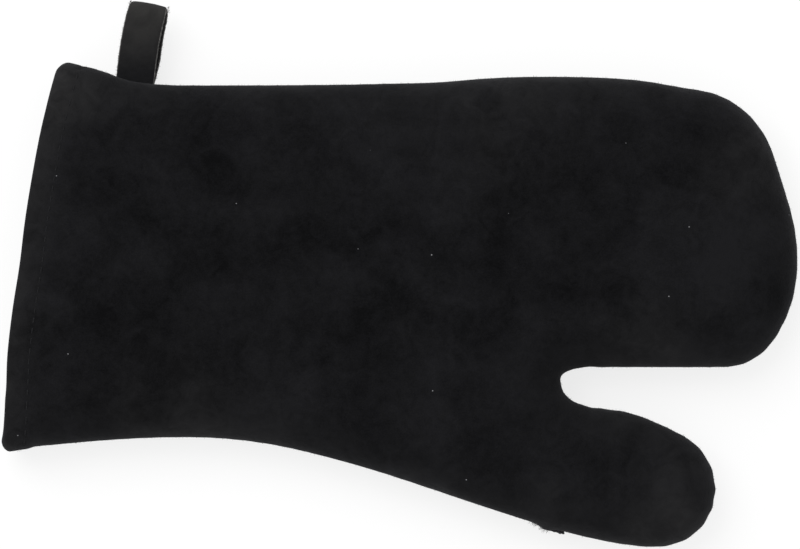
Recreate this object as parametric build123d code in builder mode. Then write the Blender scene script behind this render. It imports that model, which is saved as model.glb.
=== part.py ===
"""An oven mitt of split leather, lying flat: two suede panels sewn along their edge and turned, with
wadding and a cotton lining inside, a folded hem at the cuff and a suede hanging loop in the side seam.

Millimetres. +X runs from the cuff to the fingertips, +Y to the side with the loop, +Z up from the
table that the mitt lies on. The origin is under the middle of the mitt, on the table.
"""

import os
from math import cos, radians, sin

from build123d import *

os.makedirs("parts", exist_ok=True)

# ---- Outline of both panels ----
# "At" is a length from the cuff's low corner and "behind" one from the tip of the longest finger.
# "Low" and "high" are distances from a line along the middle of the hand.
mitt_length = 329.5
cuff_low = 72.9  # low corner of the cuff
cuff_high = 88.0  # high corner of the cuff
cuff_slant = 23.0  # the high corner lies this far in front of the low one
cuff_bow_r = 775.0  # radius of the cuff's slightly bowed edge
flare_low = 7.5  # degrees that either edge leans outwards at the cuff
flare_high = 6.0
wrist_at = 77.0  # where the mitt is narrowest
wrist_low = 67.0
wrist_high = 78.7
palm_high = 79.2  # halfway between the wrist and the knuckles
palm_slope = 1.0
knuckle_behind = 102.5  # where the hand is widest on the loop's side
knuckle_high = 82.3
heel_behind = 159.5  # middle of the slope from the wrist down to the thumb
heel_low = 85.7
heel_slope = 18.7
thumb_r = 24.9
thumb_behind = 34.0
thumb_low = 113.2
crotch_r = 8.2
crotch_behind = 97.1  # bottom of the notch between the thumb and the fingers
finger_low = 38.0  # the straight edge between the crotch and the fingertips
low_corner_r = 25.0  # fingertip corner on the thumb's side
low_corner_behind = 4.5
finger_high = 77.8
high_corner_r = 39.8  # fingertip corner on the loop's side
high_corner_behind = 8.2
fingertip_high = 6.0  # the longest finger, above the middle line

# ---- Layers ----
mitt_thickness = 36.0
suede = 1.2
wadding = 3.2
lining = 0.8
ply_gap = 0.2  # clearance between one layer and the next
seam_band = 1.0  # straight band of wall at the side seam
seam_allowance = 4.8  # depth of the edges turned in at the side seam
seam_line = 3.3  # side seam's stitching, in from the edge
thread = 0.6

# ---- Hem of the cuff ----
hem_width = 14.0  # suede turned inside the mouth
hem_line = 9.0  # row of stitches, in from the cuff's edge
hem_groove = 0.6  # depth that the row pulls into the suede
groove_width = 1.3
stitch_length = 3.0
stitch_pitch = 4.2
hem_row_margin = 9.0  # the row stops this far from either corner of the cuff

# ---- Hanging loop ----
strap_width = 15.8
loop_at = 56.0  # where the loop leaves the side seam
loop_edge_high = 80.0  # the panels' edge there
loop_edge_slope = 8.0
loop_reach = 32.5  # from the panels' edge to the end of the loop
loop_belly = 11.0  # the folded strap's thickness where it is roundest
loop_lean = 10.5  # degrees that the loop leans towards the fingers
fold_offset = 2.4  # the strap bends this far outside the panels' edge
fold_gap = 0.3  # running clearance of the bend
strap_caught = 3.8  # length of the strap's ends inside the seam

# ---- Worked out from the sizes above ----
seam_height = mitt_thickness / 2
edge_round = seam_height - seam_band / 2
lean_cos = cos(radians(loop_lean))
lean_sin = sin(radians(loop_lean))
loop_top = loop_edge_high + loop_reach * lean_cos + strap_width / 2 * lean_sin
middle_x = mitt_length / 2
middle_y = (loop_top - thumb_low) / 2

# Depth of each face below the suede's outer face: (in from the edge, in from the top or the bottom).
suede_face = (0.0, 0.0)
suede_back = (suede, suede)
wadding_face = (suede + ply_gap, suede + ply_gap)
lining_face = (seam_allowance + thread + 2 * ply_gap, suede + wadding + 2 * ply_gap)
wadding_back = (lining_face[0] - ply_gap, lining_face[1] - ply_gap)
lining_back = (lining_face[0] + lining, lining_face[1] + lining)
hem_face = (lining_back[0] + ply_gap, lining_back[1] + ply_gap)
hem_back = (hem_face[0] + suede, hem_face[1] + suede)


def at(along, across):
    """A point of the outline in the mitt's frame."""
    return Vector(along - middle_x, across - middle_y)


def heading(degrees):
    """The direction that turns this far to the left of +X."""
    return Vector(cos(radians(degrees)), sin(radians(degrees)))


def bend(start, start_heading, end, end_heading):
    """Two tangent arcs that leave start and reach end along these headings."""
    leave = heading(start_heading)
    arrive = heading(end_heading)
    chord = end - start
    spread = 2 * (1 - leave.dot(arrive))
    along = chord.dot(leave + arrive)
    if spread < 1e-9:
        reach = chord.dot(chord) / (2 * along)
    else:
        reach = ((along**2 + spread * chord.dot(chord)) ** 0.5 - along) / spread
    middle = (start + end + (leave - arrive) * reach) / 2
    TangentArc(start, middle, tangent=leave)
    TangentArc(end, middle, tangent=arrive * -1)


# ---- The panels' outline, run on past the cuff's edge so that every layer can be cut there ----
overrun = 25.0
corner_high = at(cuff_slant, cuff_high)
corner_low = at(0, -cuff_low)
cuff_centre = RadiusArc(corner_high, corner_low, -cuff_bow_r).arc_center
past_high = corner_high + heading(180 - flare_high) * (overrun + cuff_slant)
past_low = corner_low - heading(flare_low) * overrun

knuckle_at = mitt_length - knuckle_behind
thumb_centre = at(mitt_length - thumb_behind - thumb_r, thumb_r - thumb_low)
crotch_centre = at(mitt_length - crotch_behind + crotch_r, -finger_low - crotch_r)
low_corner_centre = at(mitt_length - low_corner_behind - low_corner_r, low_corner_r - finger_low)
high_corner_centre = at(mitt_length - high_corner_behind - high_corner_r, finger_high - high_corner_r)

with BuildSketch() as pattern:
    with BuildLine():
        thumb = CenterArc(thumb_centre, thumb_r, -98, 160)
        crotch = CenterArc(crotch_centre, crotch_r, -86, -184)
        low_corner = CenterArc(low_corner_centre, low_corner_r, -90, 60)
        high_corner = CenterArc(high_corner_centre, high_corner_r, 18, 60)
        wrist_under = at(wrist_at, -wrist_low)
        heel = at(mitt_length - heel_behind, -heel_low)
        bend(corner_low, flare_low, wrist_under, 0)
        bend(wrist_under, 0, heel, -heel_slope)
        bend(heel, -heel_slope, thumb @ 0, -8)
        bend(thumb @ 1, 152, crotch @ 0, 184)
        Line(crotch @ 1, low_corner @ 0)
        fingertip = at(mitt_length, fingertip_high)
        bend(low_corner @ 1, 60, fingertip, 90)
        bend(fingertip, 90, high_corner @ 0, 108)
        knuckle = at(knuckle_at, knuckle_high)
        palm = at((wrist_at + knuckle_at) / 2, palm_high)
        wrist_over = at(wrist_at, wrist_high)
        loop_root = at(loop_at, loop_edge_high)
        bend(high_corner @ 1, 168, knuckle, 180)
        bend(knuckle, 180, palm, 180 + palm_slope)
        bend(palm, 180 + palm_slope, wrist_over, 180)
        bend(wrist_over, 180, loop_root, 180 - loop_edge_slope)
        bend(loop_root, 180 - loop_edge_slope, corner_high, 180 - flare_high)
        Polyline(corner_high, past_high, past_low, corner_low)
    make_face()


# ---- Rounded solids that the layers are made from ----
def cuff_column(depth):
    """Everything that lies deeper than depth inside the cuff's edge."""
    with BuildPart() as column:
        with BuildSketch():
            with Locations(cuff_centre):
                Circle(cuff_bow_r - depth)
        extrude(amount=mitt_thickness)
    return column.part


def inset_pattern(depth):
    """The panels' outline, drawn in by depth."""
    if not depth:
        return pattern.sketch
    return offset(pattern.sketch, amount=-depth, kind=Kind.ARC, mode=Mode.PRIVATE)


def form(depths):
    """The rounded solid that is left below a face at these depths, run on past the cuff."""
    from_edge, from_top = depths
    height = mitt_thickness - 2 * from_top
    outline = inset_pattern(from_edge)
    with BuildPart() as solid:
        with BuildSketch(Plane.XY.offset(from_top)):
            add(outline)
        extrude(amount=height)
        rims = solid.edges().filter_by(Plane.XY)
        cut_end = rims.sort_by(Axis.X)[0].center().X + ply_gap
        fillet(rims.filter_by(lambda rim: rim.center().X > cut_end), height / 2 - seam_band / 2)
    return solid.part


def ply(face, back, cuff_depth, end_depth=None):
    """The layer between two faces, from cuff_depth inside the cuff's edge to end_depth."""
    outside = form(face)
    inside = form(back)
    start = cuff_column(cuff_depth)
    end = cuff_column(end_depth) if end_depth else None
    with BuildPart() as layer:
        add(outside)
        add(start, mode=Mode.INTERSECT)
        if end:
            add(end, mode=Mode.SUBTRACT)
        add(inside, mode=Mode.SUBTRACT)
    return layer.part


def seam_strip(outer, inner, low, high, cuff_depth):
    """A flat strip along the side seam, between two depths in from the edge and two heights."""
    outer_line = inset_pattern(outer)
    inner_line = inset_pattern(inner)
    start = cuff_column(cuff_depth)
    with BuildPart() as strip:
        with BuildSketch(Plane.XY.offset(low)):
            add(outer_line)
            add(inner_line, mode=Mode.SUBTRACT)
        extrude(amount=high - low)
        add(start, mode=Mode.INTERSECT)
    return strip.part


def half(shell, side, clearance):
    """One side of a layer, this far from the plane of the side seam."""
    plane = Plane.XY.offset(seam_height + side * clearance)
    keep = Keep.TOP if side > 0 else Keep.BOTTOM
    return split(shell, bisect_by=plane, keep=keep, mode=Mode.PRIVATE)


# ---- Hanging loop: a strap folded in half, both ends caught in the side seam ----
# In the strap's plane X runs outwards from the fold line at the seam and Y is up.
strap_plane = Plane(
    origin=(
        loop_root.X + fold_offset * lean_sin,
        loop_root.Y + fold_offset * lean_cos,
        seam_height,
    ),
    x_dir=(lean_sin, lean_cos, 0),
    z_dir=(lean_cos, -lean_sin, 0),
)
neck = suede  # half the thickness of the strap's two ends, pressed together
fold_room = ((neck + fold_gap) ** 2 + neck**2) ** 0.5  # lets the loop fold flat against the neck
head_r = loop_belly / 2
head_at = loop_reach - fold_offset - head_r

with BuildPart() as loop_ends:
    with BuildSketch(strap_plane):
        with Locations((-(fold_offset + strap_caught) / 2, 0)):
            Rectangle(fold_offset + strap_caught, 2 * neck)
        Circle(fold_room - fold_gap)
    extrude(amount=strap_width / 2, both=True)

with BuildPart() as hanging_loop:
    with BuildSketch(strap_plane) as strap:
        Circle(suede + ply_gap / 2)
        with Locations((head_at, 0)):
            Circle(head_r)
        make_hull()
        offset(amount=-suede, kind=Kind.ARC, mode=Mode.SUBTRACT)
        Circle(fold_room, mode=Mode.SUBTRACT)
    extrude(amount=strap_width / 2, both=True)


def across_strap(half_width, half_height):
    """A block around the strap's ends, through the whole seam allowance."""
    with BuildPart() as block:
        with BuildSketch(strap_plane):
            Rectangle(4 * seam_allowance, 2 * half_height)
        extrude(amount=half_width, both=True)
    return block.part


# Where the strap's ends pass between them, the panels' turned edges step apart.
slot_half = neck + ply_gap
strap_slot = across_strap(strap_width / 2 + ply_gap, slot_half)
strap_step = across_strap(strap_width / 2 + suede, seam_height)

# ---- Suede of both sides in one: skin, folded hem, and the groove that the hem's stitching pulls ----
groove_floor = form((hem_groove, hem_groove))
groove_start = cuff_column(hem_line - groove_width / 2)
groove_end = cuff_column(hem_line + groove_width / 2)
with BuildPart() as hem_channel:
    add(groove_start)
    add(groove_end, mode=Mode.SUBTRACT)
    add(groove_floor, mode=Mode.SUBTRACT)

skin_outside = form(suede_face)
skin_inside = form(suede_back)
mouth = form(hem_back)
cuff_start = cuff_column(0)
skin_start = cuff_column(suede)
hem_return = ply(hem_face, hem_back, suede / 2, hem_width)
with BuildPart() as suede_shell:
    add(skin_outside)
    add(cuff_start, mode=Mode.INTERSECT)
    add(skin_inside & skin_start, mode=Mode.SUBTRACT)
    add(mouth, mode=Mode.SUBTRACT)
    add(hem_channel.part, mode=Mode.SUBTRACT)
    add(hem_return)


def panel(side):
    """The suede of one side, with its hem and with its edge turned in at the side seam."""
    flange = sorted((seam_height, seam_height + side * suede))
    step = sorted((seam_height + side * slot_half, seam_height + side * (slot_half + suede)))
    skin = half(suede_shell.part, side, 0)
    turned_edge = seam_strip(suede / 2, seam_allowance, *flange, suede / 2)
    stepped_edge = seam_strip(suede / 2, seam_allowance, *step, suede / 2) & strap_step
    with BuildPart() as suede_side:
        add(skin)
        add(turned_edge)
        add(strap_slot, mode=Mode.SUBTRACT)
        add(stepped_edge)
    return suede_side.part


back_panel = panel(1)
palm_panel = panel(-1)
with BuildPart() as back_suede:
    add(back_panel)

with BuildPart() as palm_suede:
    add(palm_panel)

# ---- Wadding and lining of each side ----
rim_clear = slot_half + suede + thread + 2 * ply_gap  # the wadding stops short of the turned edges
wadding_shell = ply(wadding_face, wadding_back, suede + ply_gap)
lining_shell = ply(lining_face, lining_back, suede + ply_gap)

with BuildPart() as back_wadding:
    add(half(wadding_shell, 1, rim_clear))

with BuildPart() as palm_wadding:
    add(half(wadding_shell, -1, rim_clear))

with BuildPart() as back_lining:
    add(half(lining_shell, 1, ply_gap / 2))

with BuildPart() as palm_lining:
    add(half(lining_shell, -1, ply_gap / 2))

# ---- Side seam and lining seam ----
seam_thread_out = seam_line - thread / 2
seam_thread_in = seam_line + thread / 2


def thread_run(side, lift):
    """The side seam's thread on one turned edge, lift above the seam's plane."""
    heights = sorted((seam_height + side * lift, seam_height + side * (lift + thread)))
    return seam_strip(seam_thread_out, seam_thread_in, *heights, suede + ply_gap)


with BuildPart() as side_seam_thread:
    for side in (1, -1):
        add(thread_run(side, suede + ply_gap / 2) - strap_step)
        add(thread_run(side, slot_half + suede + ply_gap / 2) & strap_step)

lining_thread_out = seam_allowance + ply_gap
lining_run = seam_strip(
    lining_thread_out,
    lining_thread_out + thread,
    seam_height - thread / 2,
    seam_height + thread / 2,
    suede + ply_gap,
)
with BuildPart() as lining_seam_thread:
    add(lining_run)

# ---- Rows of stitches along the hem: on the skin, and inside on the turned hem ----
row_low = -cuff_low - middle_y + hem_row_margin
row_high = cuff_high - middle_y - hem_row_margin
stitch_count = int((row_high - row_low) / stitch_pitch)
comb_reach = cuff_slant + 4 * hem_width

with BuildPart() as stitch_comb:
    with Locations((-middle_x, (row_low + row_high) / 2, seam_height)):
        with GridLocations(comb_reach, stitch_pitch, 1, stitch_count):
            Box(2 * comb_reach, stitch_length, mitt_thickness)


def deeper(depths, extra):
    """The same face, lower by extra."""
    return (depths[0] + extra, depths[1] + extra)


def stitch_row(face):
    """The ring of thread just below a face, along the hem's row of stitches."""
    top = deeper(face, ply_gap / 2)
    bottom = deeper(face, hem_groove - ply_gap / 2)
    return ply(top, bottom, hem_line - thread / 2, hem_line + thread / 2)


with BuildPart() as hem_stitches:
    add(stitch_row(suede_face))
    add(stitch_row(hem_back))
    add(stitch_comb.part, mode=Mode.INTERSECT)

with BuildPart() as back_hem_stitches:
    add(half(hem_stitches.part, 1, suede))

with BuildPart() as palm_hem_stitches:
    add(half(hem_stitches.part, -1, suede))

# ---- Every piece, under its node's name ----
pieces = {
    "back_suede": back_suede,
    "palm_suede": palm_suede,
    "back_wadding": back_wadding,
    "palm_wadding": palm_wadding,
    "back_lining": back_lining,
    "palm_lining": palm_lining,
    "side_seam_thread": side_seam_thread,
    "lining_seam_thread": lining_seam_thread,
    "back_hem_stitches": back_hem_stitches,
    "palm_hem_stitches": palm_hem_stitches,
    "loop_ends": loop_ends,
    "hanging_loop": hanging_loop,
}
for name, piece in pieces.items():
    piece.part.label = name
    export_step(piece.part, f"parts/{name}.step")
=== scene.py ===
import math

import bmesh
import bpy
import numpy as np
from mathutils import Matrix, Vector, kdtree, noise


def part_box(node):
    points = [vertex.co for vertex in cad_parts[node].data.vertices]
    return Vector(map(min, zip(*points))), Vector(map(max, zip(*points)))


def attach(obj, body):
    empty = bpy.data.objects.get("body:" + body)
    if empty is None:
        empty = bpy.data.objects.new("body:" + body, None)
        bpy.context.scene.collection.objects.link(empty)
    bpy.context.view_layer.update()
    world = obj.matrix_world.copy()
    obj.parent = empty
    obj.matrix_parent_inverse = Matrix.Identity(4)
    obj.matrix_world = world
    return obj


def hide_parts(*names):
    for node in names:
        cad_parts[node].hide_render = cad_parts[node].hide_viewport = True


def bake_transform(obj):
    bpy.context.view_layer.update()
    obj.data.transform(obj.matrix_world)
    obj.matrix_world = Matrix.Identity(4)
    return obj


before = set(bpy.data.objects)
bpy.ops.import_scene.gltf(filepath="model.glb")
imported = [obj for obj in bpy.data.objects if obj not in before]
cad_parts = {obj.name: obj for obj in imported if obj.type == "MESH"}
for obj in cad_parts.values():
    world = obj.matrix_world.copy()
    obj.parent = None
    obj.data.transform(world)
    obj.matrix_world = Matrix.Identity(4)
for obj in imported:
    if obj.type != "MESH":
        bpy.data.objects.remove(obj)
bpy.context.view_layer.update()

# ---- Sizes, in metres ----
mm = 0.001
suede_low, suede_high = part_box("back_suede")
seam_z = suede_low.z
half_height = suede_high.z - seam_z

# Suede panels. A shoulder is the width over which a side rounds down to the side seam.
suede_thick = 1.2 * mm
shoulder_back = 21 * mm
shoulder_palm = 18 * mm
edge_out = 0.5 * mm  # the sewn edge bulges this far past the seam's line
seam_groove = 0.7 * mm
seam_spacing = 1.3 * mm
grid_spacing = 3.0 * mm
most_swell = 1.25 * mm  # how far pressure may move the suede

# Cuff and hem
cuff_bow = 3.1 * mm
corner_round = 4.2 * mm
hem_fold_r = 2.0 * mm  # the folded cuff is twice this thick
hem_return = 14.0 * mm
fold_steps = 8
return_steps = 10
hem_row_depth = 9.0 * mm
stitch_pitch = 4.2 * mm
hem_cut_spacing = stitch_pitch / 4
stitch_length = 3.2 * mm
thread_r = 0.3 * mm

# Layers inside: the depths of their faces below the suede's, and where they start.
wadding_faces = (1.5 * mm, 4.6 * mm)
wadding_start = 16 * mm
lining_faces = (4.8 * mm, 5.4 * mm)
lining_start = 9 * mm

# Hanging loop
strap_width = 15.8 * mm
strap_thick = 1.2 * mm
strap_caught = 3.8 * mm
loop_reach = 32.9 * mm
loop_head_r = 4.7 * mm
loop_foot_rise = 0.62 * mm  # half the height of the two plies where they leave the seam
loop_lean = math.radians(10.5)
loop_root = Vector((-109.6, 79.9, 18.0)) * mm

# ---- Form of this mitt, in millimetres ----
# Where the sewn edge wanders from the pattern's. The notch's bottom is squarer on its finger side.
edge_pulls = [
    # place, reach, pull
    ((64.5, -41.5), 9.0, (-0.8, 0.5)),
    ((66.9, -41.3), 3.2, (-1.5, 0.1)),
    ((71.5, -54), 6.0, (0, 1.3)),
    ((86, -56), 9.0, (0, -0.8)),
    ((155, -29), 17.0, (-0.9, 0.4)),
    ((108, -112), 12.0, (0, 0.8)),
    ((116, 79), 13.0, (0, -0.7)),
    ((17, 81), 14.0, (0, -0.4)),
]

# The raw edges inside the seam push out a short bulge under the thumb, and peep out beside it.
bulge_at = (61.2, -103.6)
bulge_reach = 3.6
bulge_out = 1.6
frayed_at = (58.2, -104.1)
frayed_reach = 4.5

# The cuff's edge is drawn in here and there.
cuff_waves = [
    # share from the middle to a corner, reach, amount
    (-0.69, 0.13, 0.95),
    (-0.04, 0.17, 0.6),
    (0.88, 0.17, 0.8),
    (-0.97, 0.09, -1.5),
]

# The stiff folded hem stands out a little past the mitt's sides.
flare_high, flare_high_end, flare_high_fade = 1.2, 32, 14
flare_low, flare_low_end, flare_low_fade = 1.0, 14, 5

# The back is lowest at its shoulder and over the cuff, and wavy.
crown_foot = 0.935  # share of the frame's height
crown_rise, crown_reach = 0.05, 24
cuff_sink, cuff_sink_reach = 0.1, 22
back_waves = [
    # height, size, seed
    (0.7, 62, 3.1),
    (0.4, 27, 8.4),
]

# Folds that run out from the bottom of the notch, and the soft valley at the thumb's root.
back_creases = [
    # start, end, width, depth
    ((70, -41), (34, -18), 4.0, 1.4),
    ((67, -47), (22, -50), 6.0, 0.7),
    ((70, -53), (30, -76), 7.0, 1.1),
    ((96, -60), (62, -74), 7.0, 0.5),
    ((82, -36), (70, 2), 6.0, 0.6),
    ((-96, 55), (-70, 18), 9.0, 0.5),
    ((-110, -48), (-66, -30), 10.0, 0.4),
]

# Where the nap is painted lighter: partly wear from handling, partly painted sheen at edges and
# corners.
wear_and_painted_sheen_spots = [
    # place, reach, amount
    ((-134, 78), 17, 0.42),
    ((110, -98), 17, 0.5),
    ((102, -38), 24, 0.42),
    ((60, -101), 14, 0.35),
    ((146, 48), 20, 0.35),
    ((40, 76), 30, 0.25),
    ((-90, -62), 26, 0.25),
]


# ---- The side seam's line, taken from the frame ----
def unit(vectors):
    return vectors / np.linalg.norm(vectors, axis=-1, keepdims=True)


def run_lengths(line):
    """The length along a line at each of its points."""
    return np.r_[0, np.cumsum(np.linalg.norm(np.diff(line, axis=0), axis=1))]


def outline_of(node, level):
    """A CAD node's outer edge at one height, from the cuff's low corner to its high corner."""
    bm = bmesh.new()
    bm.from_mesh(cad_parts[node].data)
    bmesh.ops.remove_doubles(bm, verts=bm.verts, dist=1e-6)
    cut = bmesh.ops.bisect_plane(
        bm,
        geom=bm.verts[:] + bm.edges[:] + bm.faces[:],
        plane_co=(0, 0, level),
        plane_no=(0, 0, 1),
    )
    neighbours = {}
    for edge in cut["geom_cut"]:
        if isinstance(edge, bmesh.types.BMEdge):
            a, b = edge.verts
            neighbours.setdefault(a, []).append(b)
            neighbours.setdefault(b, []).append(a)
    start = max(neighbours, key=lambda v: v.co.x)
    loop = [start]
    previous, here = None, start
    while True:
        ahead = [v for v in neighbours[here] if v is not previous]
        previous, here = here, ahead[0]
        if here is start:
            break
        loop.append(here)
    line = np.array([v.co.xy for v in loop])
    bm.free()
    x, y = line.T
    if np.sum(x * np.roll(y, -1) - np.roll(x, -1) * y) < 0:
        line = line[::-1]
    line = np.roll(line, -int(np.argmax(-line[:, 0] - line[:, 1])), axis=0)
    return line[: int(np.argmax(line[:, 1] - line[:, 0])) + 1]


def spaced(line, step):
    """The same line with points this far apart."""
    lengths = run_lengths(line)
    at = np.linspace(0, lengths[-1], int(round(lengths[-1] / step)) + 1)
    return np.c_[np.interp(at, lengths, line[:, 0]), np.interp(at, lengths, line[:, 1])]


def smoothed(line, passes):
    line = line.copy()
    for _ in range(passes):
        line[1:-1] = (line[:-2] + 2 * line[1:-1] + line[2:]) / 4
    return line


# The outline has small steps at the hem's groove and at the loop, so it is smoothed more there.
line_step = 0.5 * mm
outline_level = seam_z + 1.6 * mm
seam_line = smoothed(spaced(outline_of("back_suede", outline_level), line_step), 40)
by_cuff = np.clip((seam_line[0, 0] + 50 * mm - seam_line[:, 0]) / (15 * mm), 0, 1)[:, None]
seam_line = smoothed(seam_line, 350) * by_cuff + seam_line * (1 - by_cuff)

# The cuff's own axes: one runs in from the straight line between its corners, one along it.
corner_low, corner_high = seam_line[0], seam_line[-1]
cuff_middle = (corner_low + corner_high) / 2
cuff_along = unit(corner_high - corner_low)
cuff_inward = np.array((cuff_along[1], -cuff_along[0]))
cuff_half = np.linalg.norm(corner_high - corner_low) / 2

# The seam's line runs on straight past the cuff, so that the panels can be cut there.
run_on = np.linspace(line_step, 30 * mm, 60)
before = corner_low + np.outer(run_on[::-1], unit(seam_line[0] - seam_line[6]))
after = corner_high + np.outer(run_on, unit(seam_line[-1] - seam_line[-7]))
long_seam = np.r_[before, seam_line, after]
seam_tangent = unit(np.gradient(long_seam, axis=0))
seam_inward = np.c_[-seam_tangent[:, 1], seam_tangent[:, 0]]
seam_length = run_lengths(long_seam)
thumb_tip_r = 25 * mm
turning = np.unwrap(np.arctan2(seam_tangent[:, 1], seam_tangent[:, 0]))
turning = np.abs(np.gradient(turning, seam_length))
seam_bend = np.convolve(turning, np.ones(41) / 41, mode="same") * thumb_tip_r

seam_tree = kdtree.KDTree(len(long_seam))
for row, (x, y) in enumerate(long_seam):
    seam_tree.insert((x, y, 0), row)
seam_tree.balance()


def from_seam(points):
    """Distance in from the seam, the inward direction, the length along it, and its bend."""
    nearest = np.array([seam_tree.find((x, y, 0))[1] for x, y in points])
    inward = seam_inward[nearest]
    reach = points - long_seam[nearest]
    distance = np.maximum((reach * inward).sum(1), 0)
    along = seam_length[nearest] + (reach * seam_tangent[nearest]).sum(1)
    return distance, inward, along, seam_bend[nearest]


def from_cuff(points):
    """Depth in from the cuff, and the way along it from its middle."""
    offset = points - cuff_middle
    return offset @ cuff_inward, offset @ cuff_along


def seam_way(inward):
    """The seam's own direction, away from the cuff."""
    way = np.c_[inward[:, 1], -inward[:, 0]]
    return way * np.sign(way @ cuff_inward)[:, None]


# ---- The shape of the sewn mitt ----
def eased(share):
    """0 to 1 with a soft start and end."""
    share = np.clip(share, 0, 1)
    return share * share * (3 - 2 * share)


def around(points, at, reach):
    """1 at a place, fading to 0 round it."""
    away = np.linalg.norm(points - np.array(at) * mm, axis=1) / (reach * mm)
    return np.exp(-(away**2))


def ripple(points, size, seed):
    """Smooth noise between -1 and 1 on flat points."""
    return np.array([noise.noise(Vector((x / size, y / size, seed))) for x, y in points])


def dent(points, start, end, width, taper=0.35):
    """1 along a line between two points, fading to 0 across its width and at its ends."""
    start, end = np.array(start) * mm, np.array(end) * mm
    run = end - start
    share = ((points - start) @ run) / (run @ run)
    across = np.abs((points - start) @ np.array((-run[1], run[0]))) / np.linalg.norm(run)
    ends = np.clip(np.minimum(share, 1 - share) / taper + 0.5, 0, 1)
    return np.exp(-((across / (width * mm)) ** 2)) * ends * ends * (3 - 2 * ends)


def half_height_at(points, side):
    """Height of a side's face above or below the seam's plane, away from the edge."""
    height = np.full(len(points), half_height)
    if side > 0:
        distance = from_seam(points)[0] / mm
        depth = np.maximum(from_cuff(points)[0], 0) / mm
        height *= crown_foot + crown_rise * (1 - np.exp(-distance / crown_reach))
        height *= 1 - cuff_sink * np.exp(-depth / cuff_sink_reach)
        for amount, size, seed in back_waves:
            height += amount * mm * ripple(points, size * mm, seed)
        for start, end, width, amount in back_creases:
            height -= amount * mm * dent(points, start, end, width)
    return height


def seam_gathers(distance, along, bend):
    """Depth of the seam's groove and of the gathers, which are strongest where the edge turns."""
    groove = seam_groove * np.exp(-((distance / (1.5 * mm)) ** 2))
    bend = np.clip(bend, 0, 1)
    line = np.c_[along, along * 0]
    wave = np.sin(2 * math.pi * along / (8.7 * mm) + 3.4 * ripple(line, 23 * mm, 1.7))
    strength = (0.05 + 0.2 * bend) * mm * (0.7 + 0.9 * ripple(line, 31 * mm, 4.2))
    fading = np.exp(-distance / ((3.0 + 5.0 * bend) * mm))
    return groove + strength * fading * wave * np.clip(distance / (1.2 * mm), 0.15, 1)


def hem_dimples(distance, depth, along):
    """Depth of the valley that the hem's stitches pull into the suede."""
    stitch = np.cos(2 * math.pi * along / stitch_pitch)
    row = np.exp(-(((depth - hem_row_depth) / (0.9 * mm)) ** 2))
    valley = np.exp(-(((depth - hem_row_depth) / (3.2 * mm)) ** 2))
    pull = row * (0.32 + 0.22 * stitch) * mm + valley * 0.35 * mm
    return pull * np.clip(distance / (6 * mm), 0.25, 1)


def hem_flare(distance, depth, along):
    """How far the hem stands out past the sides."""
    high = flare_high * mm * eased((flare_high_end - depth / mm) / flare_high_fade) * (along > 0)
    low = flare_low * mm * eased((flare_low_end - depth / mm) / flare_low_fade) * (along < 0)
    return (high + low) * np.exp(-distance / (14 * mm))


def place(points, side, depth=0.0, detail=1.0):
    """Puts flat points on the face of one side, depth below it. Gives places and normals."""
    shoulder = shoulder_back if side > 0 else shoulder_palm
    distance, inward, along, bend = from_seam(points)
    cuff_depth, cuff_way = from_cuff(points)
    share = np.clip(distance / shoulder, 0, 1)
    angle = share * math.pi / 2
    height = half_height_at(points, side)
    from_edge = np.where(share < 1, shoulder * (1 - np.cos(angle) ** 0.96), distance)
    lateral = from_edge - edge_out * (1 - share)
    rise = height * np.sin(angle) ** 0.94
    normal = np.c_[-inward * (np.cos(angle) * height)[:, None], np.sin(angle) * shoulder * side]
    normal = unit(normal)
    spot = np.c_[points + inward * (lateral - distance)[:, None], seam_z + side * rise]
    for at, reach, pull in edge_pulls:
        spot[:, :2] += around(points, at, reach)[:, None] * np.array(pull) * mm
    bulge = bulge_out * mm * around(points, bulge_at, bulge_reach)
    out = bulge + hem_flare(distance, cuff_depth, cuff_way)
    spot[:, :2] -= inward * out[:, None]
    if side in swell:
        spot += carried(points, *swell[side])

    # The layers lie closer together at the hem.
    pressed = 0.68 + 0.32 * eased((cuff_depth - 8 * mm) / (18 * mm))
    deeper = np.full(len(points), depth)
    if depth > suede_thick:
        deeper = suede_thick + (depth - suede_thick) * pressed
    deeper += seam_gathers(distance, along, bend) * detail
    if depth < suede_thick:
        deeper += hem_dimples(distance, cuff_depth, cuff_way) * detail
    spot -= normal * deeper[:, None]

    # The cuff's edge is bowed, and its corners are round.
    chord = np.clip(cuff_way / cuff_half, -1.02, 1.02)
    bow = cuff_bow * (1 - chord**2)
    for at, reach, amount in cuff_waves:
        bow -= amount * mm * np.exp(-(((chord - at) / reach) ** 2))
    trim = np.clip(corner_round - from_edge, 0, corner_round)
    corner = corner_round - np.sqrt(np.maximum(corner_round**2 - trim**2, 0))
    inside = np.maximum(cuff_depth, 0)
    spot[:, :2] += seam_way(inward) * (corner * np.exp(-inside / (9 * mm)))[:, None]
    spot[:, :2] -= cuff_inward * (bow * np.exp(-inside / (70 * mm)))[:, None]
    if side < 0:
        spot[:, 2] = np.maximum(spot[:, 2], depth)
    return spot, normal


# Each side's moves under pressure, from the bag blown up below.
swell = {}


def carried(points, tree, moves):
    """The blown-up bag's move at flat points, a soft mean of the nearest of its own points."""
    result = np.zeros((len(points), 3))
    for row, (x, y) in enumerate(points):
        found = tree.find_n((x, y, 0), 7)
        nearest = np.array([index for _, index, _ in found])
        away = np.array([distance for _, _, distance in found])
        weight = np.exp(-((away / (3.2 * mm)) ** 2)) + 1e-9
        result[row] = (moves[nearest] * weight[:, None]).sum(0) / weight.sum()
    return result


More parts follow.
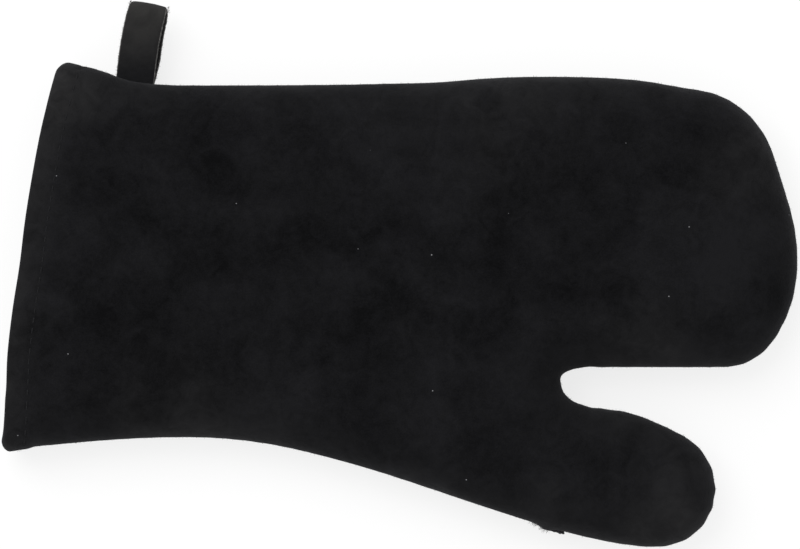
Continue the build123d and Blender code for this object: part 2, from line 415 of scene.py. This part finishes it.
# ---- Flat panels ----
def cut_faces(bm, faces, point, direction, clear=False):
    """Cuts faces along a line through a point, square to a direction."""
    # These lists keep their order, which sets wouldn't, so that every run cuts the same way.
    edges = list(dict.fromkeys(e for f in faces for e in f.edges))
    verts = list(dict.fromkeys(v for e in edges for v in e.verts))
    bmesh.ops.bisect_plane(
        bm,
        geom=verts + edges + list(faces),
        dist=1e-7,
        plane_co=(point[0], point[1], 0),
        plane_no=(direction[0], direction[1], 0),
        clear_outer=clear,
    )


def flat_panel(spacing, rings, ring_reach, grid, cuff_depth, hem_cuts=0):
    """A panel's flat cut: rings of faces along its edge and a grid within, cut at the cuff."""
    bm = bmesh.new()
    part = bm.faces.layers.int.new("part")
    line = spaced(long_seam, spacing)
    kept = from_cuff(line)[0] > -6 * mm
    kept[[0, -1]] = True  # the ends run on as one long straight edge each
    line = line[kept]
    middle = bm.faces.new([bm.verts.new((x, y, 0)) for x, y in line])
    for _ in range(rings):
        bmesh.ops.inset_region(
            bm,
            faces=[middle],
            thickness=ring_reach / rings,
            use_boundary=True,
            use_even_offset=True,
        )
    for f in bm.faces:
        f[part] = 0
    middle[part] = 1
    start = cuff_middle + cuff_inward * cuff_depth
    cut_faces(bm, bm.faces[:], start, -cuff_inward, clear=True)
    for k in range(1, int(max(from_cuff(line)[0]) / grid)):
        at = start + cuff_inward * (k * grid)
        cut_faces(bm, [f for f in bm.faces if f[part]], at, cuff_inward)
    low, high = line[:, 1].min(), line[:, 1].max()
    for k in range(1, int((high - low) / grid) + 1):
        cut_faces(bm, [f for f in bm.faces if f[part]], (0, low + k * grid), (0, 1))
    if hem_cuts:
        cut_hem(bm, part, cuff_depth, hem_cuts)
    bmesh.ops.triangulate(bm, faces=bm.faces[:])
    inner = [e for e in bm.edges if not e.is_boundary]
    bmesh.ops.beautify_fill(bm, faces=bm.faces[:], edges=inner)
    return bm


def cut_hem(bm, part, cuff_depth, cuts):
    """Finer faces along the cuff: rows 1 mm apart, with four cuts across to each stitch."""
    centres = np.array([f.calc_center_median().xy for f in bm.faces])
    for f, depth in zip(bm.faces, from_cuff(centres)[0]):
        f[part] = 2 if depth < cuff_depth + (cuts + 2) * mm else 0
    for k in range(1, cuts + 1):
        at = cuff_middle + cuff_inward * (cuff_depth + k * mm)
        cut_faces(bm, [f for f in bm.faces if f[part] == 2], at, cuff_inward)
    for k in range(int(2 * cuff_half / hem_cut_spacing)):
        at = cuff_middle + cuff_along * (-cuff_half + k * hem_cut_spacing)
        cut_faces(bm, [f for f in bm.faces if f[part] == 2], at, cuff_along)


def flat_points(bm):
    return np.array([v.co.xy for v in bm.verts])


def finish_mesh(name, bm, places=None, facing=0):
    """Makes a piece of the mesh. An open skin's faces are turned to face up (1) or down (-1)."""
    for v, p in zip(bm.verts, [] if places is None else places):
        v.co = p
    bmesh.ops.recalc_face_normals(bm, faces=bm.faces[:])
    if facing:
        up = sum(f.normal.z * f.calc_area() for f in bm.faces)
        if up * facing < 0:
            bmesh.ops.reverse_faces(bm, faces=bm.faces[:])
    mesh = bpy.data.meshes.new(name)
    bm.to_mesh(mesh)
    bm.free()
    for polygon in mesh.polygons:
        polygon.use_smooth = True
    piece = bpy.data.objects.new(name, mesh)
    bpy.context.scene.collection.objects.link(piece)
    return piece


def apply_modifiers(piece):
    graph = bpy.context.evaluated_depsgraph_get()
    mesh = bpy.data.meshes.new_from_object(piece.evaluated_get(graph))
    piece.modifiers.clear()
    piece.data = mesh


# ---- The bag blown up ----
def sewn_bag():
    """Both panels sewn together, with each one's flat points, start places and points' numbers."""
    flat = flat_panel(4.2 * mm, rings=4, ring_reach=16 * mm, grid=4.6 * mm, cuff_depth=hem_fold_r)
    points = flat_points(flat)
    bag = bmesh.new()
    starts = {}
    for side in (1, -1):
        starts[side] = place(points, side, 0.6 * mm, 0.0)[0]
        half = flat.copy()
        for v, p in zip(half.verts, starts[side]):
            v.co = p
        mesh = bpy.data.meshes.new("half")
        half.to_mesh(mesh)
        half.free()
        bag.from_mesh(mesh)
    flat.free()
    distance = from_seam(points)[0]
    rows = bag.verts.layers.int.new("row")
    for i, v in enumerate(bag.verts):
        v[rows] = i
    edge = [v for v in bag.verts if distance[v[rows] % len(points)] < 1e-5]
    bmesh.ops.remove_doubles(bag, verts=edge, dist=1.5 * mm)
    bag.verts.index_update()
    index_of = {v[rows]: v.index for v in bag.verts}
    return finish_mesh("blown_bag", bag), points, starts, index_of


def blow_up():
    """Fills the sewn bag by pressure, held at the seam and the cuff. Gives each side's moves."""
    piece, points, starts, index_of = sewn_bag()
    count = len(points)
    distance = from_seam(points)[0]
    depth = from_cuff(points)[0]
    held = piece.vertex_groups.new(name="held")
    for row, index in index_of.items():
        row %= count
        soft = min(distance[row] / (5 * mm), (depth[row] - 10 * mm) / (14 * mm))
        if soft < 1:
            held.add([index], 1 - max(soft, 0), "REPLACE")
    cloth = piece.modifiers.new("cloth", "CLOTH")
    cloth.settings.quality = 5
    cloth.settings.mass = 0.4
    cloth.settings.tension_stiffness = 25
    cloth.settings.compression_stiffness = 25
    cloth.settings.shear_stiffness = 8
    cloth.settings.bending_stiffness = 4
    cloth.settings.use_pressure = True
    cloth.settings.uniform_pressure_force = 3
    cloth.settings.shrink_min = -0.02
    cloth.settings.vertex_group_mass = "held"
    cloth.settings.effector_weights.gravity = 0
    cloth.collision_settings.use_collision = False
    scene = bpy.context.scene
    for number in range(1, 21):
        scene.frame_set(number)
    graph = bpy.context.evaluated_depsgraph_get()
    blown = piece.evaluated_get(graph).to_mesh()
    places = np.array([v.co for v in blown.vertices])
    result = {}
    for side, first in ((1, 0), (-1, count)):
        tree = kdtree.KDTree(count)
        moves = np.zeros((count, 3))
        for i in range(count):
            tree.insert((points[i][0], points[i][1], 0), i)
            if first + i in index_of:
                moves[i] = places[index_of[first + i]] - starts[side][i]
        tree.balance()
        size = np.linalg.norm(moves, axis=1)[:, None]
        moves *= most_swell * np.tanh(size / most_swell) / np.maximum(size, 1e-9)
        ramp = np.clip(distance / (17 * mm), 0, 1)[:, None]
        moves *= 0.25 + 0.75 * eased(ramp)
        moves[:, :2] *= ramp
        result[side] = (tree, moves)
    scene.frame_set(1)
    bpy.data.objects.remove(piece)
    return result


# ---- Suede panels ----
def wear_and_painted_sheen_at(points):
    """How much lighter the nap is painted: painted sheen along the rounded sides; partly wear,
    partly painted sheen on the hem and at the spots.
    """
    distance = from_seam(points)[0]
    depth, along = from_cuff(points)
    depth = np.maximum(depth, 0)
    # Painted sheen: the rounded sides are made lighter where light grazes them.
    wear_and_painted_sheen = 0.75 * np.exp(-distance / (5 * mm)) * (0.75 + 1.1 * ripple(points, 38 * mm, 2.2))
    # Partly wear, partly painted sheen on the hem's fold, more towards the loop.
    wear_and_painted_sheen += 0.4 * np.exp(-depth / (6 * mm))
    more_by_loop = np.clip(0.55 + 0.5 * along / cuff_half, 0.15, 1)
    wear_and_painted_sheen += 0.17 * eased((11 * mm - depth) / (4 * mm)) * more_by_loop
    for spot, reach, amount in wear_and_painted_sheen_spots:
        uneven = 0.8 + 0.8 * ripple(points, 12 * mm, 5.5)
        wear_and_painted_sheen += amount * around(points, spot, reach) * uneven
    return np.clip(wear_and_painted_sheen, 0, 1)


def drawn_out(bm, edges, layer, step):
    """Extrudes a row of edges and marks the new points with the step's number."""
    made = bmesh.ops.extrude_edge_only(bm, edges=edges)["geom"]
    for g in made:
        if isinstance(g, bmesh.types.BMVert):
            g[layer] = step
    ahead = [g for g in made if isinstance(g, bmesh.types.BMEdge)]
    return [e for e in ahead if all(p[layer] == step for p in e.verts)]


def folded(points, normal, steps, side):
    """How far the hem's points move from the cuff's edge, round its fold and back inside."""
    distance, inward = from_seam(points)[:2]
    along = from_cuff(points)[1]
    turned = np.clip(steps / fold_steps, 0, 1) * math.pi
    back = np.maximum(steps - fold_steps, 0) / return_steps * (hem_return - hem_fold_r)
    pull = np.exp(-(((back + hem_fold_r - hem_row_depth) / (1.4 * mm)) ** 2)) * (back > 0)
    pull *= (0.5 + 0.2 * np.cos(2 * math.pi * along / stitch_pitch)) * mm
    last = steps == fold_steps + return_steps
    ragged = last * 0.35 * mm * ripple(np.c_[along, along * 0], 2.2 * mm, 6.0 + side)
    beside = np.exp(-distance / (14 * mm))[:, None]
    way_in = unit(cuff_inward * (1 - beside) + seam_way(inward) * beside)
    way_in = np.c_[way_in, np.zeros(len(points))]
    way_out = -np.array((*cuff_inward, 0))
    return (
        normal * (hem_fold_r * (np.cos(turned) - 1) + pull)[:, None]
        + way_out * (hem_fold_r * np.sin(turned))[:, None]
        + way_in * (back + ragged)[:, None]
    )


def suede_panel(name, side):
    bm = flat_cut.copy()
    fold = bm.verts.layers.float.new("fold")
    cuff_edges = []
    for e in bm.edges:
        if e.is_boundary:
            depth = from_cuff(np.array([p.co.xy for p in e.verts]))[0]
            if np.all(np.abs(depth - hem_fold_r) < 1e-5):
                cuff_edges.append(e)
    for step in range(1, fold_steps + return_steps + 1):
        cuff_edges = drawn_out(bm, cuff_edges, fold, step)
    points = flat_points(bm)
    spot, normal = place(points, side)
    # Each point's painted sheen and wear, which the suede's material reads as a lighter colour.
    wear_and_painted_sheen_mark = bm.verts.layers.float.new("wear_and_painted_sheen_mark")
    for v, amount in zip(bm.verts, wear_and_painted_sheen_at(points)):
        v[wear_and_painted_sheen_mark] = amount
    steps = np.array([v[fold] for v in bm.verts])
    spot[steps > 0] += folded(points, normal, steps, side)[steps > 0]
    piece = finish_mesh(name, bm, spot, side)
    wall = piece.modifiers.new("wall", "SOLIDIFY")
    wall.thickness = suede_thick
    wall.offset = -1
    apply_modifiers(piece)
    return piece


# ---- Loose nap ----
def fibre(bm, foot, aim, length, radius):
    """A short loose fibre, thinning to its end."""
    turn = aim.to_track_quat("Z", "Y").to_matrix().to_4x4()
    turn.translation = foot + aim.normalized() * (length * 0.42)
    bmesh.ops.create_cone(
        bm,
        cap_ends=True,
        segments=3,
        radius1=radius,
        radius2=radius * 0.3,
        depth=length,
        matrix=turn,
    )


def add_mesh(whole, bm):
    """Joins a mesh to a larger one. Small meshes take new shapes much faster than large ones."""
    mesh = bpy.data.meshes.new("joined")
    bm.to_mesh(mesh)
    bm.free()
    whole.from_mesh(mesh)
    bpy.data.meshes.remove(mesh)


def add_fibres(whole, side, seed):
    """Nap that stands out along the sides, and longer threads at the frayed spot."""
    random = np.random.default_rng(seed)
    line = spaced(long_seam, line_step)
    line = line[from_cuff(line)[0] > 6 * mm]
    inward = from_seam(line)[1]
    by_fray = np.linalg.norm(line - np.array(frayed_at) * mm, axis=1) < frayed_reach * mm
    nap_count, frayed_count, batch = 2600, 45, 250
    picks = random.integers(0, len(line), nap_count)
    picks = np.r_[picks, random.choice(np.nonzero(by_fray)[0], frayed_count)]
    frayed = np.arange(len(picks)) >= nap_count
    reach = random.uniform(0.4, 7, len(picks)) * mm
    reach[frayed] = random.uniform(0.3, 1.6, frayed_count) * mm
    feet, normal = place(line[picks] + inward[picks] * reach[:, None], side)
    for first in range(0, len(picks), batch):
        bm = bmesh.new()
        for i in range(first, min(first + batch, len(picks))):
            aim = Vector(normal[i]) + Vector(random.normal(0, 0.55, 3))
            length = random.uniform(0.8, 2.4) if frayed[i] else random.uniform(0.25, 0.85)
            fibre(bm, Vector(feet[i]), aim, length * mm, 0.045 * mm)
        add_mesh(whole, bm)


def add_raw_scraps(whole):
    """Six ragged bits of the seam's raw edges that peep out under the thumb."""
    noise.seed_set(9)  # without a seed, noise_vector starts from the clock
    for k in range(6):
        bm = bmesh.new()
        bmesh.ops.create_cube(bm, size=1)
        bmesh.ops.subdivide_edges(bm, edges=bm.edges[:], cuts=3, use_grid_fill=True)
        for v in bm.verts:
            jag = noise.noise_vector(v.co * 1.9 + Vector((k * 3.7, 0, 0)))
            v.co = Vector((v.co.x * 1.5, v.co.y * 2.2, v.co.z * 0.9)) + jag * 0.7
        for f in bm.faces:
            f.material_index = 1
        at = Vector((61.6 + k * 1.2, -104.3 - 0.37 * k, 18.4 + 0.5 * math.sin(k * 2.0)))
        turn = Matrix.Rotation(-0.35 + 0.3 * math.sin(k * 1.7), 4, "Z")
        turn = Matrix.Translation(at * mm) @ turn @ Matrix.Scale(mm, 4)
        bmesh.ops.transform(bm, matrix=turn, verts=bm.verts[:])
        add_mesh(whole, bm)


def add_nap(piece, side, seed):
    whole = bmesh.new()
    whole.from_mesh(piece.data)
    add_fibres(whole, side, seed)
    if side < 0:
        add_raw_scraps(whole)
    whole.to_mesh(piece.data)
    whole.free()


swell.update(blow_up())
flat_cut = flat_panel(seam_spacing, 12, 15 * mm, grid_spacing, hem_fold_r, hem_cuts=11)
back = suede_panel("suede_back", 1)
palm = suede_panel("suede_palm", -1)
add_nap(back, 1, 11)
add_nap(palm, -1, 12)
for piece, node in ((back, "back_suede"), (palm, "palm_suede")):
    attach(piece, "mitt")
    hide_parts(node)


# ---- Wadding and lining ----
def layer_panel(name, side, faces, start):
    """A closed layer behind a panel, between two depths below the suede's face."""
    bm = flat_panel(3.2 * mm, rings=7, ring_reach=16 * mm, grid=7 * mm, cuff_depth=start)
    under = bm.verts.layers.float.new("under")
    made = bmesh.ops.extrude_face_region(bm, geom=bm.faces[:], use_keep_orig=True)["geom"]
    for g in made:
        if isinstance(g, bmesh.types.BMVert):
            g[under] = 1
    inner = np.array([v[under] for v in bm.verts]) > 0
    points = flat_points(bm)
    spot = place(points, side, faces[0], 0.0)[0]
    spot[inner] = place(points, side, faces[1], 0.0)[0][inner]
    spot[:, 2] = side * np.maximum(side * (spot[:, 2] - seam_z), 0.4 * mm) + seam_z
    return finish_mesh(name, bm, spot)


waddings, linings = [], []
for side, word in ((1, "back"), (-1, "palm")):
    pad = layer_panel("wadding_" + word, side, wadding_faces, wadding_start)
    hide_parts(word + "_wadding")
    waddings.append(pad)
    cloth = layer_panel("lining_" + word, side, lining_faces, lining_start)
    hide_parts(word + "_lining")
    linings.append(cloth)
for piece in waddings + linings:
    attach(piece, "mitt")


# ---- Threads ----
def tube(bm, line, radius, sides=6):
    """A closed tube along a line of points."""
    line = [Vector(p) for p in line]
    ring = bmesh.ops.create_circle(bm, cap_ends=True, segments=sides, radius=radius)["verts"]
    turn = (line[1] - line[0]).to_track_quat("Z", "Y").to_matrix().to_4x4()
    bmesh.ops.transform(bm, matrix=turn, verts=ring)
    bmesh.ops.translate(bm, vec=line[0], verts=ring)
    cap = ring[0].link_faces[0]
    for here, ahead in zip(line, line[1:]):
        cap = bmesh.ops.extrude_discrete_faces(bm, faces=[cap])["faces"][0]
        bmesh.ops.translate(bm, vec=ahead - here, verts=cap.verts)


def hem_stitches(name, side):
    """A row of stitches outside the hem and, on its other face, inside the mouth."""
    bm = bmesh.new()
    count = int((cuff_half - 9 * mm) / stitch_pitch)
    lift = np.array((-0.55, 0.12, 0.24, 0.12, -0.55)) * mm
    for k in range(-count, count + 1):
        along = k * stitch_pitch + np.linspace(-0.5, 0.5, len(lift)) * stitch_length
        flat = cuff_middle + cuff_inward * hem_row_depth + np.outer(along, cuff_along)
        outside, normal = place(flat, side)
        under = 2 * hem_fold_r - 0.5 * mm
        tube(bm, outside + normal * lift[:, None], thread_r)
        tube(bm, outside - normal * (under + lift)[:, None], thread_r)
    return finish_mesh(name, bm)


def seam_stitches(name, inset, start):
    """The thread of a seam, a set way in from the mitt's edge, between the cuff's corners."""
    line = spaced(long_seam, 2.5 * mm)
    line = line[from_cuff(line)[0] > start]
    _, inward, along, _ = from_seam(line)
    weave = 0.2 * mm * np.cos(2 * math.pi * along / (5 * mm))
    line = line + inward * (inset + weave)[:, None]
    bm = bmesh.new()
    tube(bm, [(x, y, seam_z) for x, y in line], thread_r, sides=5)
    return finish_mesh(name, bm)


threads = []
for thread, node in (
    (hem_stitches("stitches_back", 1), "back_hem_stitches"),
    (hem_stitches("stitches_palm", -1), "palm_hem_stitches"),
    (seam_stitches("side_seam_stitches", 3.3 * mm, 12 * mm), "side_seam_thread"),
    (seam_stitches("lining_seam_stitches", 7.0 * mm, 18 * mm), "lining_seam_thread"),
):
    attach(thread, "mitt")
    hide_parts(node)
    threads.append(thread)


# ---- Hanging loop ----
strap_out = Vector((math.sin(loop_lean), math.cos(loop_lean), 0))
strap_across = Vector((math.cos(loop_lean), -math.sin(loop_lean), 0))


def strap_line(count):
    """The strap's way out from the seam, round the loop's head and back, as reach and height."""
    straight = loop_reach - loop_head_r
    half = []
    for share in np.linspace(0, 1, 60):
        reach = -strap_caught + share * (straight + strap_caught)
        opening = math.sin(np.clip(reach / straight, 0, 1) * math.pi / 2) ** 1.5
        half.append((reach, loop_foot_rise + (loop_head_r - loop_foot_rise) * opening))
    head = []
    for share in np.linspace(0, 1, 30)[1:]:
        angle = share * math.pi
        head.append((straight + loop_head_r * math.sin(angle), loop_head_r * math.cos(angle)))
    other = [(reach, -height) for reach, height in half[-2::-1]]
    line = np.array(half + head + other)
    lengths = run_lengths(line)
    at = np.linspace(0, lengths[-1], count)
    line = np.c_[np.interp(at, lengths, line[:, 0]), np.interp(at, lengths, line[:, 1])]
    return line, lengths[-1]


def strap_point(line, normals, across, share, height):
    """A point of the strap: across its width, along its line from 0 to 1, above its middle."""
    at = share * (len(line) - 1)
    i = min(int(at), len(line) - 2)
    reach, rise = line[i] + (line[i + 1] - line[i]) * (at - i)
    out, up = normals[i] + (normals[i + 1] - normals[i]) * (at - i)
    # The way back lies a little to the side, and the whole loop bows towards the cuff.
    aside = 1.9 * mm * max(0, share - 0.5) * 2 * np.clip(reach / (12 * mm), 0, 1)
    aside -= 0.75 * mm * math.sin(math.pi * np.clip(reach / loop_reach, 0, 1))
    spot = loop_root + strap_out * (reach + out * height) + strap_across * (across + aside)
    spot.z += rise + up * height
    return spot


def hanging_loop():
    steps = 96
    line, length = strap_line(steps + 1)
    tangent = unit(np.gradient(line, axis=0))
    normals = np.c_[-tangent[:, 1], tangent[:, 0]]
    bm = bmesh.new()
    bmesh.ops.create_grid(bm, x_segments=22, y_segments=steps, size=0.5)
    bmesh.ops.solidify(bm, geom=bm.faces[:], thickness=1.0)
    across_of = bm.verts.layers.float.new("across")
    heights = [v.co.z for v in bm.verts]
    middle = (min(heights) + max(heights)) / 2
    for v in bm.verts:
        share, across = v.co.y + 0.5, 0.5 * math.sin(math.pi * v.co.x)
        v[across_of] = across
        rim = abs(across * 2) ** 20
        along = share * length
        ragged = 0.32 * mm * noise.noise(Vector((along / (1.3 * mm), across * 9, 2.0))) * rim
        height = math.copysign(strap_thick / 2, v.co.z - middle) * (1 - 0.3 * rim)
        height += 0.12 * mm * noise.noise(Vector((along / (5 * mm), across * 4, 7.0)))
        drawn_in = 1.0 * mm * math.exp(-(((share - 0.5) * length / (3.2 * mm)) ** 2))
        across *= 1 - drawn_in / strap_width * 2
        height -= 0.5 * mm * (across * 2) ** 2 * math.sin(share * math.pi)
        across = across * strap_width + math.copysign(ragged, across)
        v.co = strap_point(line, normals, across, share, height)
    for f in bm.faces:
        f.material_index = int(min(abs(v[across_of]) for v in f.verts) > 0.47)
    band = set(bm.faces)
    random = np.random.default_rng(5)
    for _ in range(420):
        share = random.uniform(0.07, 0.93)
        edge = random.choice((-1, 1))
        height = random.uniform(-0.45, 0.45) * strap_thick
        foot = strap_point(line, normals, edge * strap_width * 0.493, share, height)
        aim = strap_across * edge + Vector(random.normal(0, 0.75, 3))
        fibre(bm, foot, aim, random.uniform(0.3, 1.2) * mm, 0.06 * mm)
    for f in bm.faces:
        if f not in band:
            f.material_index = 1
    return finish_mesh("strap", bm)


strap = hanging_loop()
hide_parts("hanging_loop")
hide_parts("loop_ends")
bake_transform(strap)


# ---- Materials ----
def new_material(name, roughness, specular):
    material = bpy.data.materials.new(name)
    material.use_nodes = True
    tree = material.node_tree
    bsdf = tree.nodes["Principled BSDF"]
    bsdf.inputs["Roughness"].default_value = roughness
    bsdf.inputs["Specular IOR Level"].default_value = specular
    return material, tree, bsdf


def noise_node(tree, place_out, scale, detail, roughness=0.55, distortion=0.0):
    node = tree.nodes.new("ShaderNodeTexNoise")
    node.inputs["Scale"].default_value = scale
    node.inputs["Detail"].default_value = detail
    node.inputs["Roughness"].default_value = roughness
    node.inputs["Distortion"].default_value = distortion
    tree.links.new(place_out, node.inputs["Vector"])
    return node.outputs["Fac"]


def math_node(tree, operation, first, second, third=None):
    node = tree.nodes.new("ShaderNodeMath")
    node.operation = operation
    for socket, value in zip(node.inputs, (first, second, third)):
        if isinstance(value, (int, float)):
            socket.default_value = value
        elif value is not None:
            tree.links.new(value, socket)
    return node.outputs[0]


def spread(tree, value, low, high, to_low, to_high):
    node = tree.nodes.new("ShaderNodeMapRange")
    node.inputs["From Min"].default_value = low
    node.inputs["From Max"].default_value = high
    node.inputs["To Min"].default_value = to_low
    node.inputs["To Max"].default_value = to_high
    tree.links.new(value, node.inputs["Value"])
    return node.outputs["Result"]


def mixed(tree, factor, first, second):
    """A colour between two. The first is a colour or another node's output."""
    node = tree.nodes.new("ShaderNodeMix")
    node.data_type = "RGBA"
    factor_in, first_in, second_in = (node.inputs[i] for i in (0, 6, 7))
    if isinstance(first, tuple):
        first_in.default_value = (*first, 1)
    else:
        tree.links.new(first, first_in)
    second_in.default_value = (*second, 1)
    tree.links.new(factor, factor_in)
    return node.outputs[2]


def bumped(tree, bsdf, height, distance, strength):
    node = tree.nodes.new("ShaderNodeBump")
    node.inputs["Distance"].default_value = distance
    node.inputs["Strength"].default_value = strength
    tree.links.new(height, node.inputs["Height"])
    tree.links.new(node.outputs["Normal"], bsdf.inputs["Normal"])


def nap_wear_and_painted_sheen(tree, place_out, strokes, colour, wear_and_painted_sheen):
    """Lighter nap where the panel's points carry wear and painted sheen, and small bits of lint.
    """
    attribute = tree.nodes.new("ShaderNodeAttribute")
    attribute.attribute_name = "wear_and_painted_sheen_mark"
    streaks = spread(tree, strokes, 0.3, 0.7, 0.6, 1.3)
    # The lighter colour is painted sheen along the sides, and wear with painted sheen on the hem
    # and spots.
    amount = math_node(tree, "MULTIPLY", attribute.outputs["Fac"], streaks)
    colour = mixed(tree, amount, colour, wear_and_painted_sheen)
    cells = tree.nodes.new("ShaderNodeTexVoronoi")
    cells.inputs["Scale"].default_value = 75
    tree.links.new(place_out, cells.inputs["Vector"])
    lint = spread(tree, cells.outputs["Distance"], 0.01, 0.026, 1, 0)
    return mixed(tree, lint, colour, (0.22, 0.22, 0.23))


def worn_head(tree, place_out, strokes, colour, worn):
    """Lighter nap towards the strap's outer end."""
    split = tree.nodes.new("ShaderNodeSeparateXYZ")
    tree.links.new(place_out, split.inputs[0])
    amount = spread(tree, split.outputs["Y"], 84 * mm, 112 * mm, 0, 1)
    amount = math_node(tree, "MULTIPLY", amount, spread(tree, strokes, 0.35, 0.65, 0.7, 1.1))
    return mixed(tree, amount, colour, worn)


def suede_material(name, dark, light, sheen, wear_and_painted_sheen=None, worn=None):
    """Brushed split leather: soft patches where the nap lies another way, over a fine grain."""
    material, tree, bsdf = new_material(name, 0.95, 0.06)
    place_out = tree.nodes.new("ShaderNodeTexCoord").outputs["Object"]
    patches = noise_node(tree, place_out, 34, 3, 0.5, 0.6)
    strokes = noise_node(tree, place_out, 110, 3, 0.6, 1.2)
    grain = noise_node(tree, place_out, 1500, 2, 0.7)
    tufts = noise_node(tree, place_out, 420, 3, 0.6)
    broad = noise_node(tree, place_out, 13, 1, 0.5)
    nap = math_node(tree, "MULTIPLY_ADD", patches, 0.5, math_node(tree, "MULTIPLY", strokes, 0.28))
    nap = math_node(tree, "MULTIPLY_ADD", broad, 0.22, nap)
    nap = spread(tree, nap, 0.34, 0.66, 0, 1)
    fine = math_node(tree, "MULTIPLY_ADD", grain, 0.6, math_node(tree, "MULTIPLY", tufts, 0.4))
    fine = spread(tree, fine, 0.3, 0.7, -0.3, 0.3)
    colour = mixed(tree, math_node(tree, "ADD", nap, fine), dark, light)
    if wear_and_painted_sheen:
        colour = nap_wear_and_painted_sheen(tree, place_out, strokes, colour, wear_and_painted_sheen)
    if worn:
        colour = worn_head(tree, place_out, strokes, colour, worn)
    tree.links.new(colour, bsdf.inputs["Base Color"])
    bsdf.inputs["Sheen Weight"].default_value = sheen
    bsdf.inputs["Sheen Roughness"].default_value = 0.45
    bsdf.inputs["Sheen Tint"].default_value = (0.9, 0.92, 1.0, 1)
    height = math_node(tree, "MULTIPLY_ADD", tufts, 1.0, math_node(tree, "MULTIPLY", grain, 0.45))
    bumped(tree, bsdf, height, 0.35 * mm, 0.7)
    return material


def cloth_material(name, dark, light, scale):
    material, tree, bsdf = new_material(name, 0.9, 0.1)
    place_out = tree.nodes.new("ShaderNodeTexCoord").outputs["Object"]
    fibres = noise_node(tree, place_out, scale, 3, 0.6)
    colour = mixed(tree, spread(tree, fibres, 0.3, 0.7, 0, 1), dark, light)
    tree.links.new(colour, bsdf.inputs["Base Color"])
    bumped(tree, bsdf, fibres, 0.2 * mm, 0.6)
    return material


black_suede = suede_material(
    "black_suede",
    dark=(0.0019, 0.0019, 0.0022),
    light=(0.0080, 0.0080, 0.0090),
    sheen=0.042,
    # Lighter nap colour for wear and for painted sheen at the edges.
    wear_and_painted_sheen=(0.0195, 0.0193, 0.0198),
)
strap_suede = suede_material(
    "strap_suede",
    dark=(0.005, 0.005, 0.0055),
    light=(0.010, 0.010, 0.011),
    sheen=0.05,
    worn=(0.0262, 0.0256, 0.0246),
)
cut_edge = cloth_material("cut_suede_edge", (0.03, 0.03, 0.03), (0.12, 0.115, 0.11), 900)
frayed = cloth_material("frayed_suede", (0.006, 0.006, 0.0065), (0.05, 0.05, 0.056), 1300)
cotton = cloth_material("charcoal_cotton", (0.018, 0.018, 0.020), (0.034, 0.034, 0.037), 900)
felt = cloth_material("undyed_wadding", (0.70, 0.69, 0.65), (0.82, 0.81, 0.77), 350)
yarn = cloth_material("black_thread", (0.0075, 0.0075, 0.008), (0.0165, 0.0165, 0.018), 1800)
for pieces, material in (
    ((back, palm), black_suede),
    ((strap,), strap_suede),
    (linings, cotton),
    (waddings, felt),
    (threads, yarn),
):
    for piece in pieces:
        piece.data.materials.append(material)
strap.data.materials.append(cut_edge)
palm.data.materials.append(frayed)


# ---- Stage ----
# A white floor, which takes only a faint shadow because most of its brightness is its own glow.
bpy.ops.mesh.primitive_plane_add(size=6, location=(0, 0, -0.2 * mm))
floor = bpy.context.object
floor.name = "floor"
white = bpy.data.materials.new("white_floor")
white.use_nodes = True
tree = white.node_tree
tree.nodes.clear()
out = tree.nodes.new("ShaderNodeOutputMaterial")
mix = tree.nodes.new("ShaderNodeMixShader")
glow = tree.nodes.new("ShaderNodeEmission")
diffuse = tree.nodes.new("ShaderNodeBsdfDiffuse")
diffuse.inputs["Color"].default_value = (0.9, 0.9, 0.9, 1)
mix.inputs["Fac"].default_value = 0.22
tree.links.new(glow.outputs[0], mix.inputs[1])
tree.links.new(diffuse.outputs[0], mix.inputs[2])
tree.links.new(mix.outputs[0], out.inputs["Surface"])
floor.data.materials.append(white)

world = bpy.data.worlds.new("soft_light")
bpy.context.scene.world = world
world.use_nodes = True
world.node_tree.nodes["Background"].inputs["Color"].default_value = (1, 1, 1, 1)
world.node_tree.nodes["Background"].inputs["Strength"].default_value = 0.8

light_data = bpy.data.lights.new("softbox", "AREA")
light_data.size = 1.2
light_data.energy = 18
light = bpy.data.objects.new("softbox", light_data)
light.location = (-0.5, 0.7, 1.4)
light.rotation_euler = (-light.location).to_track_quat("-Z", "Y").to_euler()
bpy.context.scene.collection.objects.link(light)

# ---- Camera, straight above the mitt ----
camera_height = 1.6
picture_width = 331.7 * mm
sensor_width = 36
camera_data = bpy.data.cameras.new("camera")
camera_data.sensor_width = sensor_width
camera_data.lens = sensor_width * camera_height / picture_width
camera = bpy.data.objects.new("camera", camera_data)
camera.location = (0.25 * mm, 0.3 * mm, seam_z + camera_height)
bpy.context.scene.collection.objects.link(camera)
bpy.context.scene.camera = camera
bpy.context.scene.view_settings.view_transform = "Standard"
